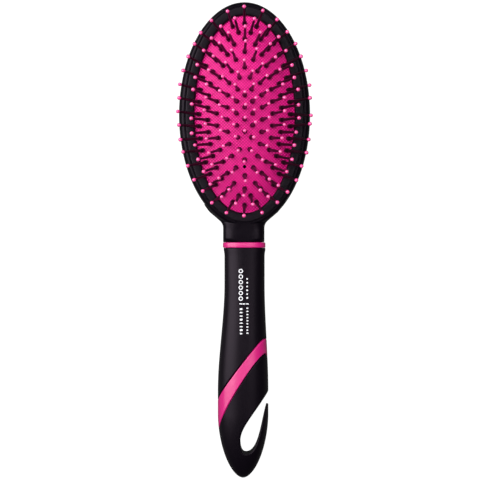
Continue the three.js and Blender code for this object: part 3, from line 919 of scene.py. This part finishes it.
def handle_sizes(y):
    """Middle x, middle z, half width and half height of the handle's outside at y.

    Width, top and bottom ease from the neck to the belly, and the tail is rounded by (1 - t^p)^(1 / p)."""
    belly = ease(TAPER_START, BELLY["top"], y)
    flare = FLARE * (1 - ease(GRIP_START, GRIP_START - FLARE_LENGTH, y))
    t = np.clip((BELLY["round"] - y) / (BELLY["round"] - TAIL_END), 0, 1)
    rounding = (1 - t**TAIL_POINTINESS) ** (1 / TAIL_POINTINESS)
    rise = ease(0, BELLY["top"], y)
    top = NECK_TOP + (BELLY["height"] - NECK_TOP) * rise
    bottom = NECK_UNDERSIDE * (1 - rise)
    half_width = ((GRIP_WIDTH + (BELLY["width"] - GRIP_WIDTH) * belly) / 2 + flare) * rounding
    return BELLY["shift"] * belly, (top + bottom) / 2, half_width, (top - bottom) / 2 * rounding


def handle_point(y, angle, inset):
    """Points of the outer surface drawn in by an inset; y, angle and inset have one shape."""
    middle_x, middle_z, half_width, half_height = handle_sizes(y)
    x = middle_x + np.maximum(half_width - inset, THINNEST) * bent(np.cos(angle))
    z = middle_z + np.maximum(half_height - inset, THINNEST) * bent(np.sin(angle))
    return np.stack([x, y, z], axis=-1)


def oblique_edge(edge, angle, shift=0.0):
    """y of the surface where it meets the plane y = at + across x + upwards (z - middle).

    Each round puts the surface's x and z at the last y into the plane, and goes half of the way there."""
    at, across, upwards = edge
    y = np.full_like(angle, at + shift)
    for _ in range(EDGE_ROUNDS):
        point = handle_point(y, angle, 0.0)
        aim = at + shift + across * point[..., 0] + upwards * (point[..., 2] - STRIPE_MIDDLE)
        y = 0.5 * y + 0.5 * aim
    return y


def sleeve(name, y_start, y_end, steps, radius, depth):
    """A ring-shaped piece of the handle's surface between two edges, with rounded, turned-in ends.

    y runs evenly from the one edge to the other, drawn in at both ends by the radius of their rounding."""
    end = rounded_end(radius, depth)
    stations = [(0.0, offset, inset) for offset, inset in end]
    stations += [(share, 0.0, 0.0) for share in np.linspace(0, 1, steps + 2)[1:-1]]
    stations += [(1.0, -offset, inset) for offset, inset in end[::-1]]
    share, offset, inset = (np.array(column)[:, None] for column in zip(*stations))
    start = np.broadcast_to(y_start, around_angle.shape)
    span = np.broadcast_to(y_end, around_angle.shape) - start
    drawn_in = np.where(share <= 0.5, radius, -radius) * ((share > 0) & (share < 1)) * np.abs(1 - 2 * share)
    y = start + span * share - offset - drawn_in
    angle = np.broadcast_to(around_angle, y.shape)
    return revolved(name, handle_point(y, angle, np.broadcast_to(inset, y.shape)), "loop", sharp_degrees=35)


upper_edge = oblique_edge(EDGE_UPPER, around_angle)
lower_edge = oblique_edge(EDGE_LOWER, around_angle)
print("stripe runs from", upper_edge.max(), "to", lower_edge.min())

# %% [markdown]
# The collar is a ring of its own on the neck's core, and stands a little proud of what lies beside it. The
# stripe is a band of the pink core that shows between the two black grips. The upper grip is a soft sleeve
# that begins at the collar and ends along the stripe's oblique edge. All three could be loops cut into one
# mesh, but separate sleeves show the fine dark lines where one piece really ends and the next begins.

# %% Collar, stripe and upper grip
CORNER, STRIPE_CORNER = 0.45, 0.5
COLLAR_DEPTH, STRIPE_DEPTH, GRIP_DEPTH = 1.6, 2.4, 2.0
COLLAR_PROUD = 0.3


def build_collar():
    """The pink collar: a short sleeve that stands a little proud of the neck."""
    y0, y1 = ring_high[1], ring_low[1]
    upper = [(y0 - offset, inset) for offset, inset in rounded_end(CORNER, COLLAR_DEPTH)]
    lower = [(y1 + y0 - y, inset) for y, inset in upper[::-1]]
    y, inset = (np.array(column) for column in zip(*(upper + lower)))
    middle = (NECK_TOP + NECK_UNDERSIDE) / 2
    half_width = NECK_HALF_WIDTH + COLLAR_PROUD - inset
    half_height = (NECK_TOP - NECK_UNDERSIDE) / 2 + COLLAR_PROUD - inset
    return revolved("neck_collar", section(y, NECK_SHIFT / 2, middle, half_width, half_height), "loop")


collar = build_collar()
collar.data.materials.append(collar_pink)
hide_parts("neck_ring")
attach(collar, "handle_and_head")

stripe = sleeve("stripe_band", upper_edge, lower_edge, 30, STRIPE_CORNER, STRIPE_DEPTH)
stripe.data.materials.append(stripe_pink)
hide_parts("handle_core")
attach(stripe, "handle_and_head")

grip_edge = oblique_edge(EDGE_UPPER, around_angle, GROOVE)
grip = sleeve("upper_grip_sleeve", GRIP_START, grip_edge, 110, CORNER, GRIP_DEPTH)
grip.data.materials.append(grip_black)
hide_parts("upper_grip")
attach(grip, "handle_and_head")
print("vertices", {piece.name: len(piece.data.vertices) for piece in (collar, stripe, grip)})

# %% [markdown]
# ## The tail with its hanging eye
# The tail starts as a closed loft from the lower stripe edge to the rounded end. Before the eye is cut, the
# surface is lowered near the eye's outline: at a distance d inside the rounding radius r, the height drops
# by r - sqrt(r^2 - (r - d)^2), the formula of a quarter circle, which leaves a rounded rim when the cut is
# made. A bevel after the cut would be the usual way, but it needs cleaner edges than a boolean leaves.

# %% Build the tail
EYE_MOUTH = (BELLY["width"] / 2 + BELLY["shift"], TAIL_END + 44.0)
EYE_SIDE = (-2.1, TAIL_END + 19.5)
EYE_BOTTOM = (0.8, TAIL_END + 12.6)
HOOK_TIP = (11.0, TAIL_END + 37.3)
EYE_RIM = 0.7
EYE_CUT = (-10.0, 30.0)
MOST_LOWERED = 0.8
TAIL_POINTS, TAIL_RINGS = 240, 190
LAST_SHARE, CROWDING = 0.9995, 1.3


def bezier(start, leaving, reaching, end, steps=24):
    """Points of a cubic Bezier curve after its start: leaving and reaching are its pulls at the two ends."""
    start, end = np.array(start), np.array(end)
    first, second = start + leaving, end + reaching
    t = np.linspace(0, 1, steps + 1)[1:, None]
    return (1 - t) ** 3 * start + 3 * t * (1 - t) ** 2 * first + 3 * t**2 * (1 - t) * second + t**3 * end


def eye_outline():
    """The drop-shaped eye: in through the mouth, down its side, round its bottom and up to the hook's tip."""
    outside = HEAD_HALF_WIDTH
    return np.vstack([
        [(outside, EYE_MOUTH[1] + outside - EYE_MOUTH[0]), EYE_MOUTH],
        bezier(EYE_MOUTH, (-9.4, -13.7), (0.0, 6.1), EYE_SIDE),
        bezier(EYE_SIDE, (0.0, -4.3), (-2.3, 0.0), EYE_BOTTOM),
        bezier(EYE_BOTTOM, (6.4, 0.0), (-2.7, -9.8), HOOK_TIP),
        [(outside, HOOK_TIP[1])],
    ])


def distance_to(outline, x, y):
    """Shortest distance in the plane from each point to the closed outline, edge by edge."""
    start, end = outline, np.roll(outline, -1, axis=0)
    along = end - start
    gap = np.stack([x, y], axis=-1)[..., None, :] - start
    share = np.clip((gap * along).sum(-1) / (along**2).sum(-1), 0, 1)
    return np.linalg.norm(gap - share[..., None] * along, axis=-1).min(axis=-1)


def build_tail():
    """The tail sleeve with a rounded upper edge, a round end and the eye cut through it.

    The rings crowd towards the end, where the surface turns fastest."""
    angle = np.linspace(0, 2 * np.pi, TAIL_POINTS, endpoint=False)
    edge = oblique_edge(EDGE_LOWER, angle, -GROOVE)
    shares = 1 - (1 - np.linspace(0, LAST_SHARE, TAIL_RINGS)[1:]) ** CROWDING
    stations = [(0.0, offset, inset) for offset, inset in rounded_end(CORNER, GRIP_DEPTH)]
    stations += [(share, CORNER * (1 - share), 0.0) for share in shares]
    share, offset, inset = (np.array(column)[:, None] for column in zip(*stations))
    y = edge + (TAIL_END - edge) * share - offset
    rings = handle_point(y, np.broadcast_to(angle, y.shape), np.broadcast_to(inset, y.shape))
    outline = eye_outline()
    near = distance_to(outline, rings[..., 0], rings[..., 1])
    inside = np.clip(EYE_RIM - near, 0, EYE_RIM)
    drop = EYE_RIM - np.sqrt(EYE_RIM**2 - inside**2)
    height = rings[..., 2] - STRIPE_MIDDLE
    rings[..., 2] -= np.sign(height) * np.minimum(drop, MOST_LOWERED * np.abs(height))
    tail = revolved("tail_grip_hook", rings, "fans", sharp_degrees=35)
    cutter_rings = [np.column_stack([outline, np.full(len(outline), z)]) for z in EYE_CUT]
    cutter = revolved("eye_cutter", cutter_rings)
    return cut_or_join(tail, cutter, "DIFFERENCE", sharp_degrees=35)


tail = build_tail()
tail.data.materials.append(grip_black)
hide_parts("tail_grip")
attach(tail, "handle_and_head")
print("tail vertices", len(tail.data.vertices))

# %% [markdown]
# ## The silver print
# The grip carries a foil print. Here it is a plain pattern of rings, dots and a bar: each mark is a thin
# plate that lies on the grip's surface, raised by a few hundredths of a millimetre, as hot foil is. An
# image would be the quick way, but plates stay sharp from close by and need no file.

# %% Build the print
FOIL_RAISE, FOIL_DEPTH = 0.03, 0.12


def grip_top(x, y):
    """Height of the grip's upper surface over a point: the section's formula solved for z.

    z = middle + half height x (1 - |x from the middle / half width|^n)^(1 / n), where n is the squareness."""
    middle_x, middle_z, half_width, half_height = handle_sizes(y)
    share = np.abs((x - middle_x) / half_width) ** SQUARENESS
    return middle_z + half_height * (1 - share) ** (1 / SQUARENESS)


def plate(centre, half_x, half_y, corners, hole=0.0):
    """Points and faces of one mark: a flat rounded polygon on the grip, with or without a hole."""
    angle = np.linspace(0, 2 * np.pi, corners, endpoint=False) + math.pi / corners
    x, y = half_x * np.cos(angle), half_y * np.sin(angle)
    steps = [(1.0, -FOIL_DEPTH), (1.0, FOIL_RAISE)]
    if hole:
        steps += [(hole, FOIL_RAISE), (hole, -FOIL_DEPTH)]
    rings = []
    for scale, lift in steps:
        place_x, place_y = centre[0] + scale * x, centre[1] + scale * y
        rings.append(np.stack([place_x, place_y, grip_top(place_x, place_y) + lift], axis=-1))
    points = np.concatenate(rings)
    faces = [tuple(face) for face in grid_faces(len(rings), corners, loop_rows=bool(hole))]
    if not hole:
        faces += [tuple(range(corners - 1, -1, -1)), tuple(range(corners, 2 * corners))]
    return points, faces


def build_print():
    """A row of rings with dots beside it, a bar, and two rows of small dots and dashes.

    The marks of a row step towards the tail at the row's own pitch, and those of the bar step sideways."""
    marks = [plate((-1.9, -15.6 - 2.75 * i), 1.1, 1.1, 16, 0.6) for i in range(6)]
    marks += [plate((1.3, -19.5 - 1.9 * i), 0.42 + 0.12 * (i % 2), 0.42, 10) for i in range(6)]
    marks += [plate((-1.9 + 1.6 * i, -32.0), 0.95, 0.36, 4) for i in range(3)]
    marks += [plate((-1.7, -34.6 - 1.75 * i), 0.8, 0.34 + 0.2 * (i % 3 == 0), 8) for i in range(8)]
    marks += [plate((1.4, -34.2 - 1.55 * i), 0.55, 0.36, 8) for i in range(9)]
    points, faces, start = [], [], 0
    for mark_points, mark_faces in marks:
        points.append(mark_points)
        faces += [tuple(start + corner for corner in face) for face in mark_faces]
        start += len(mark_points)
    mesh = mesh_from("foil_print", np.concatenate(points), faces, sharp_degrees=30)
    return add_object("foil_print", mesh)


foil_print = build_print()
foil_print.data.materials.append(silver_foil)
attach(foil_print, "handle_and_head")
print("print faces", len(foil_print.data.polygons))

# %% [markdown]
# ## Studio
# The brush is seen straight from above on clean white. A really white floor would throw light up at every
# black edge, so the floor is dark in itself and glows white for the camera only: Light Path tells the two
# apart.


# %% The floor
def build_floor():
    """A dark sheet just below the brush, which the camera sees as clean white."""
    reach, below = 3000.0, -0.1
    points = [(-reach, -reach, below), (reach, -reach, below), (reach, reach, below), (-reach, reach, below)]
    floor = add_object("studio_floor", mesh_from("studio_floor", points, [(0, 1, 2, 3)]))
    material, tree, shader = new_material("floor_white_to_camera")
    shader.inputs["Base Color"].default_value = (0.1, 0.1, 0.1, 1.0)
    shader.inputs["Roughness"].default_value = 0.9
    shader.inputs["Specular IOR Level"].default_value = 0.0
    shader.inputs["Emission Color"].default_value = (1.0, 1.0, 1.0, 1.0)
    seen = tree.nodes.new("ShaderNodeLightPath").outputs["Is Camera Ray"]
    tree.links.new(seen, shader.inputs["Emission Strength"])
    floor.data.materials.append(material)
    return floor


floor = build_floor()
print("floor", floor.name)

# %% [markdown]
# A long softbox on the left gives the broad highlight along the grip, and a weaker one on the right gives
# the second line. The third one, above, lifts the colours but is hidden from glossy rays, so it leaves no
# highlight. Point lamps would be simpler, but satin black shows the shape of whatever it reflects.


# %% The lights
def add_softbox(name, lean, distance, along, size, radiance, glossy=True):
    """An area light over the brush, leaning to one side by an angle in degrees from the vertical.

    Its power is radiance x pi x area, so the highlight is as bright whatever the size."""
    data = bpy.data.lights.new(name, "AREA")
    data.shape = "RECTANGLE"
    data.size, data.size_y = size
    data.energy = radiance * math.pi * size[0] * size[1]
    lamp = bpy.data.objects.new(name, data)
    angle = math.radians(lean)
    lamp.location = (distance * math.sin(angle), along, distance * math.cos(angle))
    lamp.rotation_euler = (0.0, angle, 0.0)
    lamp.visible_glossy = glossy
    bpy.context.scene.collection.objects.link(lamp)
    return lamp


add_softbox("key_left", lean=-46, distance=1.1, along=0.42, size=(1.1, 1.2), radiance=3.5)
add_softbox("fill_right", lean=22, distance=1.1, along=0.45, size=(0.42, 1.2), radiance=1.6)
add_softbox("soft_top", lean=-4, distance=1.2, along=0.3, size=(0.9, 0.9), radiance=7.8, glossy=False)
AMBIENT = 0.04


def build_world():
    """A studio that looks white to the camera and throws only a little light on the brush."""
    world = bpy.data.worlds.new("studio")
    world.use_nodes = True
    tree = world.node_tree
    background = tree.nodes["Background"]
    background.inputs["Color"].default_value = (1.0, 1.0, 1.0, 1.0)
    seen = tree.nodes.new("ShaderNodeLightPath").outputs["Is Camera Ray"]
    tree.links.new(math_node(tree, "MAXIMUM", seen, AMBIENT), background.inputs["Strength"])
    return world


bpy.context.scene.world = build_world()
bpy.context.scene.view_settings.view_transform = "Standard"

# %% [markdown]
# A long lens from high above keeps the oval true, and still shows the outer pins leaning out over the rim.
# A camera that isn't turned looks straight down, with +Y at the top of the picture.

# %% The camera
CAMERA_HEIGHT = 0.845
CAMERA_SIDE = -0.0023
LENS, SENSOR = 124.1, 36.0

camera_data = bpy.data.cameras.new("camera")
camera_data.lens = LENS
camera_data.sensor_width = SENSOR
camera = bpy.data.objects.new("camera", camera_data)
camera.location = (CAMERA_SIDE, 0.0, CAMERA_HEIGHT)
bpy.context.scene.collection.objects.link(camera)
bpy.context.scene.camera = camera
print("camera height", CAMERA_HEIGHT, "lens", LENS)
